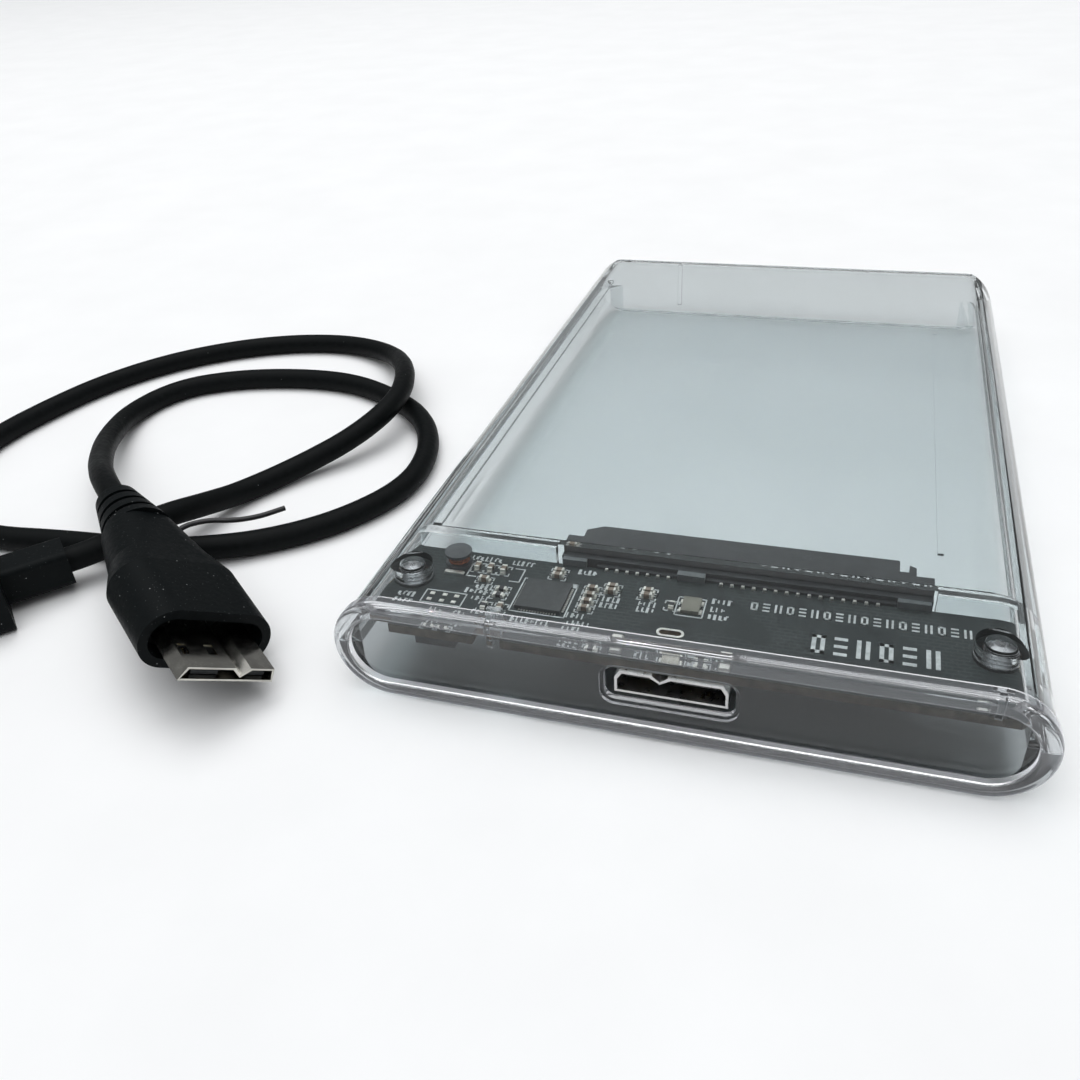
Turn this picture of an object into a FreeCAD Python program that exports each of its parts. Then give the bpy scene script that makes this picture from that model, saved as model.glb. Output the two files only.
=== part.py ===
import FreeCAD, Part
import math
import os

# A clear 2.5-inch drive enclosure with its bridge board, and its short USB cable lying beside it.
# Millimetres. X is the width, +Y points from the USB end to the closed end, +Z is up.
# The origin is the centre of the enclosure's bottom face.
# "Left" is -X and "front" is -Y throughout.

# ---- case: outside ----
LENGTH = 126.5
WIDTH = 78.9
HEIGHT = 13.2
RIM_WIDTH = 79.5
RIM_HEIGHT = 13.5
RIM_DEPTH = 2.0
RIM_LIP = 2.15
RIM_RECESS = 0.9
RIM_OUTER_ROUND = 0.8
RIM_INNER_ROUND = 0.5
CORNER_PLAN_R = 6.5
REAR_EDGE_R = 1.5
# ---- case: walls and joints between the clear pieces ----
TOP_WALL = 1.5
FLOOR_WALL = 1.5
SIDE_WALL = 2.85
FRONT_WALL = 2.0
REAR_WALL = 1.8
CAVITY_R = 3.0
SEAM_Y = -45.0
PART_Z = HEIGHT / 2
JOINT_GAP = 0.1
TONGUE_THICK = 1.0
TONGUE_HIGH = 1.6
TONGUE_PLAY = 0.3
TONGUE_START = 6.0
BITE = 0.3                          # how far an added rib or boss runs into the wall it grows from
USB_HOLE_LEFT = -6.8
USB_HOLE_RIGHT = 7.8
USB_HOLE_BOTTOM = 4.3
USB_HOLE_TOP = 8.9
USB_HOLE_R = 1.3
FLARE_WIDTH = 0.45
FLARE_DEPTH = 0.4
# ---- case: small ribs and pegs ----
BULKHEAD_SPANS = [(-35.0, -16.8), (27.6, 35.5)]
LEFT_PEG_X = -20.2
LEFT_PEG_BAR_Y = -59.6
RIGHT_PEG_X = 33.4
PEG_WEB = 0.7
PEG_BAR_WIDTH = 1.8
PEG_BAR_THICK = 0.65
FLOOR_STEP_X = 29.7
FLOOR_STEP_Y = (-22.0, 56.0)
FLOOR_STEP_WIDTH = 0.8
FLOOR_STEP_HIGH = 0.35
GUIDE_X = -33.5
GUIDE_WIDTH = 1.0
GUIDE_HIGH = 0.45
GUIDE_REAR_Y = 50.0
STOP_X = -21.5
STOP_WIDTH = 0.8
STOP_DEPTH = 0.5
STOP_BOTTOM = 3.2
# ---- bridge board ----
BOARD_TOP = 9.6
BOARD_THICK = 1.2
BOARD_LEFT = -35.9
BOARD_RIGHT = 36.4
BOARD_FRONT = -60.8
BOARD_REAR = -46.05
BOSS_SPOTS = [(-33.1, -52.7), (33.6, -52.9)]
BOSS_R = 2.45
SCREW_R = 1.5
SCREW_ROOT_R = 1.25
SCREW_PITCH = 0.5
SCREW_TIP_Z = 11.45
SCREW_TIP_R = 0.55
SCREW_TIP_HIGH = 0.45
SCREW_BITE = 0.04                   # how far the thread crests press into the boss
SCREW_TURNS = 5
HEAD_R = 2.5
HEAD_HIGH = 1.3
HEAD_CHAMFER = 0.4
NOTCH_R = 1.4
NOTCH_OUT = 0.9                     # distance of a side notch's centre outside the board
NOTCH_Y = (-53.7, -53.8)
BOARD_SLOT = (-1.7, 0.8, -56.9, -56.1)
# ---- parts on the board ----
INDUCTOR_X = -28.7
INDUCTOR_Y = -48.6
INDUCTOR_R = 1.7
INDUCTOR_HIGH = 1.8
INDUCTOR_DISC = 0.35
INDUCTOR_WAIST_R = 0.8
WIRE_R = 0.175
WIRE_PITCH = 0.36
WIRE_TURNS = 3
# ---- drive connector ----
SATA_PITCH = 1.27
SATA_SIGNAL_X = -10.3
SATA_POWER_X = 3.65
SATA_SIGNAL_COUNT = 7
SATA_POWER_COUNT = 15
SATA_FACE_Y = -39.5
SATA_FLANGE_REAR_Y = -42.3
SATA_FLANGE_FRONT_Y = -45.55
SATA_SLOT_Z = 8.0
SATA_SLOT_HALF = 0.9
SATA_SLOT_END_Y = -44.9
SATA_KEY = 1.3
SATA_KEY_DEEP = 1.7
SATA_SLOTS = [(-11.8, -1.2), (2.2, 23.2)]
SATA_BOTTOM = 5.4
SATA_TOP = 11.5
SATA_FLANGE_TOP = 10.5
SATA_FLANGE_X = (-16.15, 27.3)
SATA_CREST_Y = -44.6
SATA_NOSE_X = (-14.2, 25.35)
SATA_NOSE_CUT_X = 2.0
SATA_NOSE_CUT_Y = 1.2
SATA_NOTCH = (23.5, 24.6)
SATA_NOTCH_DEEP = 2.2
SATA_NOTCH_BOTTOM = 9.6
SATA_CONTACT_WIDTH = 0.34
SATA_CONTACT_THICK = 0.25
SATA_TAIL_Y = -46.35
# ---- USB socket ----
USB_LEFT = -5.6
USB_RIGHT = 7.0
USB_FRONT_Y = -61.9
USB_DEPTH = 6.6
USB_BOTTOM = 5.45
USB_SHEET = 0.3
USB_SHOULDER = 0.9
USB_SLANT = 0.55
USB_VALLEY = 0.75
USB_BLADE_Z = 6.75
USB_BLADE_THICK = 0.6
USB_CONTACT_THICK = 0.15
# ---- cable ----
CABLE_D = 3.7
ROLL = 32.0

FRONT_Y = -LENGTH / 2
REAR_Y = LENGTH / 2
FRONT_INNER_Y = FRONT_Y + FRONT_WALL
REAR_INNER_Y = REAR_Y - REAR_WALL
CEILING_Z = HEIGHT - TOP_WALL
CAVITY_X = WIDTH / 2 - SIDE_WALL
BOARD_BOTTOM = BOARD_TOP - BOARD_THICK
FAR = 200.0


def vec(x, y, z=0.0):
    return FreeCAD.Vector(x, y, z)


def box(x0, x1, y0, y1, z0, z1):
    return Part.makeBox(x1 - x0, y1 - y0, z1 - z0, vec(x0, y0, z0))


def cylinder(x, y, z0, z1, radius):
    return Part.makeCylinder(radius, z1 - z0, vec(x, y, z0))


def outline(corners):
    """Closed straight-sided wire through 3-D corners."""
    return Part.makePolygon(corners + [corners[0]])


def rounded_outline(x0, x1, y0, y1, radii):
    """Rectangle in the XY plane; radii go from the (x0, y0) corner anticlockwise."""
    corners = [(x0, y0), (x1, y0), (x1, y1), (x0, y1)]
    inward = [(1, 1), (-1, 1), (-1, -1), (1, -1)]
    bend = 1 - math.sqrt(0.5)
    stops = []
    for index, ((cx, cy), (sx, sy), radius) in enumerate(zip(corners, inward, radii)):
        along_x = vec(cx + sx * radius, cy)
        along_y = vec(cx, cy + sy * radius)
        middle = vec(cx + sx * radius * bend, cy + sy * radius * bend)
        pair = (along_y, middle, along_x) if index % 2 == 0 else (along_x, middle, along_y)
        stops.append((pair, radius))
    edges = []
    for index, ((start, middle, end), radius) in enumerate(stops):
        if radius > 0:
            edges.append(Part.Arc(start, middle, end).toShape())
        following = stops[(index + 1) % 4][0][0]
        if (following - end).Length > 1e-6:
            edges.append(Part.LineSegment(end, following).toShape())
    return Part.Wire(edges)


def along_y(wire_xy, y0, y1):
    """Prism whose section is drawn as (x, z) in the XY plane, running from y0 to y1."""
    face = Part.Face(wire_xy)
    face.rotate(vec(0, 0), vec(1, 0), 90)
    face.translate(vec(0, y1))
    return face.extrude(vec(0, y0 - y1))


def along_z(wire_xy, z0, z1):
    face = Part.Face(wire_xy)
    face.translate(vec(0, 0, z0))
    return face.extrude(vec(0, 0, z1 - z0))


def along_x(wire_xy, x0, x1):
    """Prism whose section is drawn as (y, z) in the XY plane, running from x0 to x1."""
    face = Part.Face(wire_xy)
    face.rotate(vec(0, 0), vec(1, 1, 1), 120)
    face.translate(vec(x0, 0))
    return face.extrude(vec(x1 - x0, 0))


def section_prism(half_width, z0, z1, radius, y0, y1):
    return along_y(rounded_outline(-half_width, half_width, z0, z1, [radius] * 4), y0, y1)


def fused(solids):
    result = solids[0]
    if len(solids) > 1:
        result = solids[0].fuse(solids[1:])
    return result.removeSplitter()


def compound(solids):
    return Part.makeCompound(solids)


def save(name, shape):
    shape.exportStep("parts/" + name + ".step")
    for solid in shape.Solids:
        if not solid.isValid():
            print("NOT VALID", name)
    print(name, "solids", len(shape.Solids), "volume", round(shape.Volume, 1))


# ------------------------------------------------------------------ clear case
def case_block():
    """Whole outer shape: round-sided bar, rounded in plan and along its top and bottom edge at the rear."""
    section = section_prism(WIDTH / 2, 0, HEIGHT, HEIGHT / 2 - 0.001, FRONT_Y, REAR_Y)
    rear_r = [0, 0, CORNER_PLAN_R, CORNER_PLAN_R]
    plan = along_z(rounded_outline(-WIDTH / 2, WIDTH / 2, FRONT_Y, REAR_Y, rear_r), -1, HEIGHT + 1)
    edge_r = [0, REAR_EDGE_R, REAR_EDGE_R, 0]
    side = along_x(rounded_outline(FRONT_Y, REAR_Y, 0, HEIGHT, edge_r), -WIDTH, WIDTH)
    return section.common(plan).common(side)


def cavity():
    section = section_prism(CAVITY_X, FLOOR_WALL, CEILING_Z, CAVITY_R, FRONT_INNER_Y, REAR_INNER_Y)
    inner_r = CORNER_PLAN_R - SIDE_WALL
    plan_wire = rounded_outline(-CAVITY_X, CAVITY_X, FRONT_INNER_Y, REAR_INNER_Y, [0, 0, inner_r, inner_r])
    return section.common(along_z(plan_wire, 0, HEIGHT))


def tongue_space(extra, y0, y1):
    """Both long strips that the base's tongues fill, grown by extra on the outside and above."""
    strips = []
    for side in (-1, 1):
        inner = side * (CAVITY_X - 0.02)
        outer = side * (CAVITY_X + TONGUE_THICK + extra)
        x0, x1 = sorted((inner, outer))
        strips.append(box(x0, x1, y0, y1, PART_Z - JOINT_GAP / 2, PART_Z + TONGUE_HIGH + extra))
    return compound(strips)


def usb_opening(y0, y1, grow):
    x0, x1 = USB_HOLE_LEFT - grow, USB_HOLE_RIGHT + grow
    z0, z1 = USB_HOLE_BOTTOM - grow, USB_HOLE_TOP + grow
    return along_y(rounded_outline(x0, x1, z0, z1, [USB_HOLE_R + grow] * 4), y0, y1)


def base_tray():
    """Floor and lower half of the sides, with a tongue along each long edge."""
    shell = case_block().cut(cavity())
    y0, y1 = FRONT_INNER_Y + JOINT_GAP / 2, REAR_INNER_Y - JOINT_GAP
    lower = shell.common(box(-FAR, FAR, y0, y1, 0, PART_Z - JOINT_GAP / 2))
    tongues = tongue_space(0, FRONT_INNER_Y + TONGUE_START, REAR_INNER_Y - CORNER_PLAN_R)
    tongues = tongues.common(box(-FAR, FAR, -FAR, FAR, 0, PART_Z + TONGUE_HIGH))
    half = FLOOR_STEP_WIDTH / 2
    floor_step = box(FLOOR_STEP_X - half, FLOOR_STEP_X + half, *FLOOR_STEP_Y,
                     FLOOR_WALL - BITE, FLOOR_WALL + FLOOR_STEP_HIGH)
    return fused([lower, tongues.Solids[0], tongues.Solids[1], floor_step])


def standing_peg(x, y_bar, z0):
    """Clear peg of T section behind the front wall."""
    z1 = CEILING_Z + BITE
    web = box(x - PEG_WEB / 2, x + PEG_WEB / 2, FRONT_INNER_Y - BITE, y_bar + PEG_BAR_THICK / 2, z0, z1)
    bar = box(x - PEG_BAR_WIDTH / 2, x + PEG_BAR_WIDTH / 2, y_bar, y_bar + PEG_BAR_THICK, z0, z1)
    return [web, bar]


def front_wall():
    """Front wall set back inside a round-edged rim."""
    wall = section_prism(RIM_WIDTH / 2, 0, RIM_HEIGHT, RIM_HEIGHT / 2, FRONT_Y, FRONT_Y + RIM_DEPTH)
    recess_r = RIM_HEIGHT / 2 - RIM_LIP
    recess = section_prism(RIM_WIDTH / 2 - RIM_LIP, RIM_LIP, RIM_HEIGHT - RIM_LIP, recess_r,
                           FRONT_Y - 1, FRONT_Y + RIM_RECESS)
    wall = wall.makeFillet(RIM_OUTER_ROUND, front_edges(wall))
    wall = wall.cut(recess)
    inner = [edge for edge in front_edges(wall) if edge.BoundBox.XMax < RIM_WIDTH / 2 - RIM_LIP + 0.01
             and edge.BoundBox.XMin > -RIM_WIDTH / 2 + RIM_LIP - 0.01
             and edge.BoundBox.ZMin > RIM_LIP - 0.01 and edge.BoundBox.ZMax < RIM_HEIGHT - RIM_LIP + 0.01]
    return wall.makeFillet(RIM_INNER_ROUND, inner)


def front_edges(solid):
    """Edges that lie in the foremost plane."""
    return [edge for edge in solid.Edges if edge.BoundBox.YMax < FRONT_Y + 0.001]


def front_cap():
    """Fixed front piece: upper half shell, front wall with its rim, bulkhead, screw bosses and pegs."""
    shell = case_block().cut(cavity())
    start = FRONT_INNER_Y - BITE
    upper = shell.common(box(-FAR, FAR, start, SEAM_Y - JOINT_GAP / 2, PART_Z + JOINT_GAP / 2, HEIGHT + 1))
    upper = upper.cut(tongue_space(TONGUE_PLAY, FRONT_INNER_Y + TONGUE_START - TONGUE_PLAY, SEAM_Y))
    pieces = [upper, front_wall()]
    for x0, x1 in BULKHEAD_SPANS:
        pieces.append(box(x0, x1, BOARD_REAR + 0.15, SEAM_Y - JOINT_GAP / 2, BOARD_BOTTOM, CEILING_Z + BITE))
    for x, y in BOSS_SPOTS:
        pieces.append(cylinder(x, y, BOARD_TOP, CEILING_Z + BITE, BOSS_R))
    pieces += standing_peg(LEFT_PEG_X, LEFT_PEG_BAR_Y, BOARD_BOTTOM + 0.2)
    pieces += standing_peg(RIGHT_PEG_X, FRONT_INNER_Y + BITE, BOARD_TOP)
    cap = fused(pieces)
    for x, y in BOSS_SPOTS:
        cap = cap.cut(cylinder(x, y, BOARD_TOP - 1, SCREW_TIP_Z + 0.1, SCREW_R - SCREW_BITE))
    face = usb_opening(FRONT_Y - 1, FRONT_Y + FRONT_WALL + 1, 0)
    flare = usb_opening(FRONT_Y - 1, FRONT_Y + RIM_RECESS + FLARE_DEPTH, FLARE_WIDTH)
    return cap.cut(face).cut(flare)


def sliding_cover():
    """Upper half behind the seam and the whole rear wall; slides off to the rear."""
    shell = case_block().cut(cavity())
    roof = shell.common(box(-FAR, FAR, SEAM_Y + JOINT_GAP / 2, REAR_Y, PART_Z + JOINT_GAP / 2, HEIGHT + 1))
    rear = shell.common(box(-FAR, FAR, REAR_INNER_Y, REAR_Y, 0, HEIGHT + 1))
    roof = roof.cut(tongue_space(TONGUE_PLAY, SEAM_Y - 1, REAR_INNER_Y - CORNER_PLAN_R + 0.5))
    guide = box(GUIDE_X - GUIDE_WIDTH / 2, GUIDE_X + GUIDE_WIDTH / 2, SEAM_Y + 1.5, GUIDE_REAR_Y,
                CEILING_Z - GUIDE_HIGH, CEILING_Z + BITE)
    stop_rib = box(STOP_X - STOP_WIDTH / 2, STOP_X + STOP_WIDTH / 2,
                   REAR_INNER_Y - STOP_DEPTH, REAR_INNER_Y + BITE, STOP_BOTTOM, CEILING_Z + BITE)
    return fused([roof, rear, guide, stop_rib])


# ------------------------------------------------------------------ bridge board
def circuit_board():
    corners = [(BOARD_LEFT, -47.4), (-35.0, BOARD_REAR), (BOARD_RIGHT, BOARD_REAR),
               (BOARD_RIGHT, -60.2), (35.8, BOARD_FRONT), (-19.1, BOARD_FRONT), (-19.1, -58.5),
               (-22.5, -58.5), (-22.5, BOARD_FRONT), (-33.0, BOARD_FRONT), (-33.0, -59.2), (BOARD_LEFT, -59.2)]
    board = Part.Face(outline([vec(x, y, BOARD_BOTTOM) for x, y in corners])).extrude(vec(0, 0, BOARD_THICK))
    for x, y in zip((BOARD_LEFT - NOTCH_OUT, BOARD_RIGHT + NOTCH_OUT), NOTCH_Y):
        board = board.cut(cylinder(x, y, 8, 10, NOTCH_R))
    for x, y in BOSS_SPOTS:
        board = board.cut(cylinder(x, y, 8, 10, SCREW_R + 0.1))
    slot = rounded_outline(*BOARD_SLOT, [0.39] * 4)
    return board.cut(along_z(slot, 8, 10))


def sata_contact_x():
    signal = [SATA_SIGNAL_X + SATA_PITCH * step for step in range(SATA_SIGNAL_COUNT)]
    power = [SATA_POWER_X + SATA_PITCH * step for step in range(SATA_POWER_COUNT)]
    return signal, power


def sata_slots():
    """The two mating slots, each with the short leg of its L at the inner end."""
    slots = []
    for x0, x1 in SATA_SLOTS:
        y0, y1 = SATA_SLOT_END_Y, SATA_FACE_Y + 1
        slots.append(box(x0, x1, y0, y1, SATA_SLOT_Z - SATA_SLOT_HALF, SATA_SLOT_Z + SATA_SLOT_HALF))
        slots.append(box(x1 - SATA_KEY, x1, y0, y1, SATA_SLOT_Z - SATA_KEY_DEEP, SATA_SLOT_Z))
    return slots


def sata_housing():
    left, right = SATA_FLANGE_X
    flange = box(left, right, SATA_FLANGE_FRONT_Y, SATA_FLANGE_REAR_Y, SATA_BOTTOM, SATA_FLANGE_TOP)
    crest = box(left, right, SATA_CREST_Y, SATA_FLANGE_REAR_Y, SATA_FLANGE_TOP - 0.1, SATA_TOP)
    left, right = SATA_NOSE_X
    root_y = SATA_FLANGE_REAR_Y - 0.1
    cut_y = SATA_FACE_Y - SATA_NOSE_CUT_Y
    nose = [(left, root_y), (left, cut_y), (left + SATA_NOSE_CUT_X, SATA_FACE_Y),
            (right - SATA_NOSE_CUT_X, SATA_FACE_Y), (right, cut_y), (right, root_y)]
    nose_wire = outline([vec(x, y, SATA_BOTTOM) for x, y in nose])
    mating = Part.Face(nose_wire).extrude(vec(0, 0, SATA_TOP - SATA_BOTTOM))
    housing = fused([flange, crest, mating])
    for slot in sata_slots():
        housing = housing.cut(slot)
    key = box(*SATA_NOTCH, SATA_FACE_Y - SATA_NOTCH_DEEP, SATA_FACE_Y + 1, SATA_NOTCH_BOTTOM, SATA_TOP + 1)
    housing = housing.cut(key)
    signal, power = sata_contact_x()
    return housing.cut(compound([sata_contact(x) for x in signal + power]))


def sata_contact(x):
    """One bent contact: solder tail on the board, riser, and the spring along the roof of its slot."""
    half = SATA_CONTACT_WIDTH / 2
    thick = SATA_CONTACT_THICK
    spring_z = SATA_SLOT_Z + 0.5
    riser_y0, riser_y1 = SATA_SLOT_END_Y - thick, SATA_SLOT_END_Y
    tail = box(x - half, x + half, SATA_TAIL_Y, riser_y1, BOARD_TOP, BOARD_TOP + thick)
    riser = box(x - half, x + half, riser_y0, riser_y1, spring_z, BOARD_TOP + thick)
    spring = box(x - half, x + half, riser_y0, SATA_FACE_Y - 1.0, spring_z, spring_z + thick)
    return fused([tail, riser, spring])


def usb_profile(inset, y):
    """Face of the micro-B outline: two bays with a V between them in the top edge."""
    left, right = USB_LEFT + inset, USB_RIGHT - inset
    bottom, top = USB_BOTTOM + inset, BOARD_BOTTOM - inset
    shoulder = top - USB_SHOULDER
    corners = [(left, bottom), (right, bottom), (right, shoulder), (right - USB_SLANT, top), (0.4 + inset, top),
               (-0.5, top - USB_VALLEY), (-1.4 - inset, top), (left + USB_SLANT, top), (left, shoulder)]
    return Part.Face(outline([vec(x, y, z) for x, z in corners]))


def usb_socket_shell():
    outer = usb_profile(0, USB_FRONT_Y).extrude(vec(0, USB_DEPTH))
    inner = usb_profile(USB_SHEET, USB_FRONT_Y - 1).extrude(vec(0, USB_DEPTH + 0.7))
    return outer.cut(inner)


def usb_socket_tongue():
    """Insulator: a back block, with one contact blade for each bay."""
    back_y = USB_FRONT_Y + USB_DEPTH - USB_SHEET
    block = usb_profile(USB_SHEET, back_y - 1.6).extrude(vec(0, 1.6))
    blades = []
    for x0, x1 in ((-4.6, -1.7), (0.9, 5.9)):
        blades.append(box(x0, x1, USB_FRONT_Y + 1.3, back_y - 1.5,
                          USB_BLADE_Z, USB_BLADE_Z + USB_BLADE_THICK))
    return fused([block] + blades)


def usb_socket_contacts():
    bars = []
    for start, step in ((-4.3, 0.58), (1.9, 0.65)):
        for index in range(5):
            x = start + step * index
            bars.append(box(x - 0.15, x + 0.15, USB_FRONT_Y + 1.5, USB_FRONT_Y + 4.6,
                            USB_BLADE_Z - USB_CONTACT_THICK, USB_BLADE_Z))
    return compound(bars)


def soldered_box(x, y, size_x, size_y, high):
    return box(x - size_x / 2, x + size_x / 2, y - size_y / 2, y + size_y / 2, BOARD_TOP, BOARD_TOP + high)


def inductor_core():
    x, y = INDUCTOR_X, INDUCTOR_Y
    top = BOARD_TOP + INDUCTOR_HIGH
    foot = cylinder(x, y, BOARD_TOP, BOARD_TOP + INDUCTOR_DISC, INDUCTOR_R)
    waist = cylinder(x, y, BOARD_TOP + 0.1, top - 0.1, INDUCTOR_WAIST_R)
    crown = cylinder(x, y, top - INDUCTOR_DISC, top, INDUCTOR_R)
    return fused([foot, waist, crown])


def inductor_winding():
    first = BOARD_TOP + INDUCTOR_DISC + 0.015 + WIRE_R
    centres = [vec(INDUCTOR_X, INDUCTOR_Y, first + WIRE_PITCH * row) for row in range(WIRE_TURNS)]
    return compound([Part.makeTorus(INDUCTOR_WAIST_R + 0.38, WIRE_R, centre) for centre in centres])


def board_screws():
    """Pan-head screws driven up through the board; the thread is drawn as plain rings."""
    head_z = BOARD_BOTTOM - HEAD_HIGH
    thread_top = SCREW_TIP_Z - SCREW_TIP_HIGH
    screws = []
    for x, y in BOSS_SPOTS:
        profile = [(0, head_z), (HEAD_R - HEAD_CHAMFER, head_z), (HEAD_R, head_z + HEAD_CHAMFER),
                   (HEAD_R, BOARD_BOTTOM), (SCREW_ROOT_R, BOARD_BOTTOM)]
        for turn in range(SCREW_TURNS):
            z = thread_top - SCREW_PITCH * (SCREW_TURNS - turn)
            profile += [(SCREW_ROOT_R, z), (SCREW_R, z + SCREW_PITCH / 2)]
        profile += [(SCREW_ROOT_R, thread_top), (SCREW_TIP_R, SCREW_TIP_Z), (0, SCREW_TIP_Z)]
        wire = outline([vec(x + r, y, z) for r, z in profile])
        screws.append(Part.Face(wire).revolve(vec(x, y), vec(0, 0, 1), 360))
    return compound(screws)


def capacitors():
    spots = [(-26.0, -49.2, 1), (-24.3, -49.2, 1), (-22.6, -49.2, 1), (-15.8, -48.0, 0), (-15.8, -48.9, 0),
             (-10.95, -50.6, 0), (-10.95, -51.9, 0), (-10.95, -53.2, 0), (-10.95, -54.5, 0), (-8.7, -49.7, 0),
             (-8.7, -50.6, 0), (-4.4, -49.6, 0), (-4.4, -50.5, 0), (-20.6, -56.6, 1), (-24.3, -51.6, 0)]
    blocks = []
    for x, y, upright in spots:
        size = (0.6, 1.15) if upright else (1.15, 0.6)
        blocks.append(soldered_box(x, y, size[0], size[1], 0.6))
    return compound(blocks)


def resistors():
    spots = [(3.65, -59.8, 0), (-1.25, -51.6, 1), (-21.6, -53.0, 0), (-21.6, -54.2, 0), (-28.0, -60.0, 0),
             (-26.3, -60.0, 0), (-22.6, -56.6, 1), (-8.6, -59.6, 0)]
    blocks = []
    for x, y, upright in spots:
        size = (0.6, 1.1) if upright else (1.1, 0.6)
        blocks.append(soldered_box(x, y, size[0], size[1], 0.38))
    return compound(blocks)


# ------------------------------------------------------------------ cable route
def tangent_route(points):
    """Straight runs joined by tangent arcs, each as large as its two runs allow."""
    share = 0.45
    edges = []
    radii = []
    length = 0.0
    here = points[0]
    for before, corner, after in zip(points, points[1:], points[2:]):
        into = (corner - before)
        out = (after - corner)
        reach = share * min(into.Length, out.Length)
        turn = into.getAngle(out)
        radius = reach / math.tan(turn / 2)
        into.normalize()
        out.normalize()
        start = corner - into * reach
        end = corner + out * reach
        inward = out - into
        inward.normalize()
        middle = corner + inward * (radius / math.cos(turn / 2) - radius)
        edges.append(Part.LineSegment(here, start).toShape())
        edges.append(Part.Arc(start, middle, end).toShape())
        length += (start - here).Length + radius * turn
        radii.append(round(radius, 1))
        here = end
    edges.append(Part.LineSegment(here, points[-1]).toShape())
    length += (points[-1] - here).Length
    return Part.Wire(edges), radii, length


def tube(name, points, diameter):
    wire, radii, length = tangent_route(points)
    circle = Part.Circle(points[0], points[1] - points[0], diameter / 2)
    solid = wire.makePipeShell([Part.Wire(circle.toShape())], True, False)
    ideal = math.pi * diameter ** 2 / 4 * length
    print(name, "length", round(length, 1), "volume over section x length", round(solid.Volume / ideal, 4))
    print(name, "radii", radii)
    return solid


def ride_frame(origin, rear, roll_degrees):
    """Placement whose +Z runs along rear, with +X level and then rolled about the axis."""
    axis = vec(*rear)
    axis.normalize()
    level = vec(0, 0, 1).cross(axis)
    level.normalize()
    upward = axis.cross(level)
    rotation = FreeCAD.Rotation(level, upward, axis, "ZXY")
    spin = FreeCAD.Rotation(vec(0, 0, 1), roll_degrees)
    return FreeCAD.Placement(vec(*origin), rotation.multiply(spin))


def placed(shape, placement):
    result = shape.copy()
    result.transformShape(placement.toMatrix(), True)
    return result


MICRO_NOSE = (-49.6, -70.6, 6.2)
MICRO_NECK = (-81.7, -46.1, 11.0)
MICRO_REAR = tuple(b - a for a, b in zip(MICRO_NOSE, MICRO_NECK))
MICRO_LENGTH = math.sqrt(sum(c * c for c in MICRO_REAR))
MICRO_BODY = 6.8
MICRO_SHOULDER = 18.2
MICRO_POCKET = 3.2
RELIEF_START = 31.2
RELIEF_R = 4.7
RELIEF_END_R = 3.0
RELIEF_GROOVES = 3
RELIEF_RING = 1.6
RELIEF_GAP = 0.8
RELIEF_CUT = 0.6
RELIEF_PITCH = 2.5
USB_A_END = (-88.4, -51.7, 4.0)
USB_A_FORWARD = (-0.66, -0.75, 0.0)


def cable_points():
    """Route from the micro-B relief, round the first bight, over itself and back to the USB-A relief."""
    neck = vec(*MICRO_NECK)
    rear = vec(*MICRO_REAR)
    rear.normalize()
    forward = vec(*USB_A_FORWARD)
    forward.normalize()
    end = vec(*USB_A_END)
    low = CABLE_D / 2
    first = [neck, neck + rear * 6.0]
    bight = [(-95.6, -33.2, 8.6), (-106.6, -19.0, 4.4), (-113.4, -4.4, low), (-110.6, 7.4, low),
             (-101.6, 13.6, low), (-89.6, 16.6, low), (-77.4, 16.6, low), (-66.4, 11.8, low),
             (-56.8, 4.4, low), (-51.0, -6.8, low), (-49.9, -19.2, low), (-55.6, -30.4, low),
             (-64.0, -38.0, low), (-72.7, -43.1, 2.5), (-82.4, -44.4, low), (-95.0, -45.0, low)]
    unseen = [(-109.6, -46.8, low), (-122.4, -42.2, low), (-130.4, -31.4, low), (-132.8, -18.2, low)]
    back = [(-130.8, -5.0, low), (-127.4, 7.0, low), (-120.4, 18.6, low), (-110.4, 27.4, low),
            (-98.6, 33.0, low), (-85.8, 34.6, low), (-73.6, 28.9, 2.8), (-64.2, 15.0, 6.0),
            (-60.6, 3.0, 6.0), (-63.7, -8.2, 4.2), (-70.5, -16.8, 2.1), (-76.1, -26.4, low),
            (-77.5, -33.6, 3.9), (-79.3, -40.2, 5.75), (-82.0, -44.9, 5.7)]
    middle = [vec(*p) for p in bight + unseen + back]
    return first + middle + [end - forward * 4.4, end]


def flat_oval(half_width, half_height, along):
    """Stadium outline in a plane at the given distance along the plug."""
    wire = rounded_outline(-half_width, half_width, -half_height, half_height, [half_height * 0.98] * 4)
    wire.translate(vec(0, 0, along))
    return wire


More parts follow.
